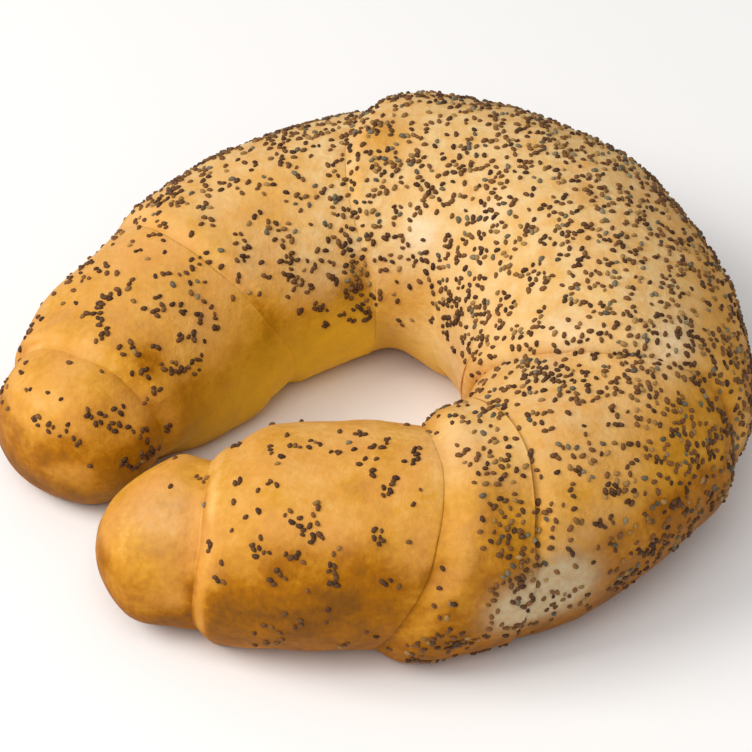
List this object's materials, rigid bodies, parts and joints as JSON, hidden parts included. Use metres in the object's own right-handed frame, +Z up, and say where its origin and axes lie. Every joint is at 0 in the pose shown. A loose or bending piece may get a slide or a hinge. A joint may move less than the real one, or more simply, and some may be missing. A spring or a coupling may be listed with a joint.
{
  "type": "seeded crescent roll",
  "caption": "Crescent-shaped bread roll bent into a nearly closed horseshoe, with stepped layers of rolled dough, a golden crust and poppy seeds strewn thickly over the bend.",
  "frame": {"origin": "on the table under the middle of the roll: the centre of the base of its box", "axes": "+Z up from the table, +X from the ends of the two arms towards the bend, +Y from the front arm towards the back arm"},
  "size_m": [0.139, 0.1245, 0.0444],
  "materials": {
    "crust": "golden baked bread crust, satin where the dough was stretched smooth, darker towards the base",
    "poppy_seeds": "matt dry poppy seeds, dark brown to blue-grey"
  },
  "bodies": {
    "root": {"roll": "crust"}
  },
  "joints": []
}
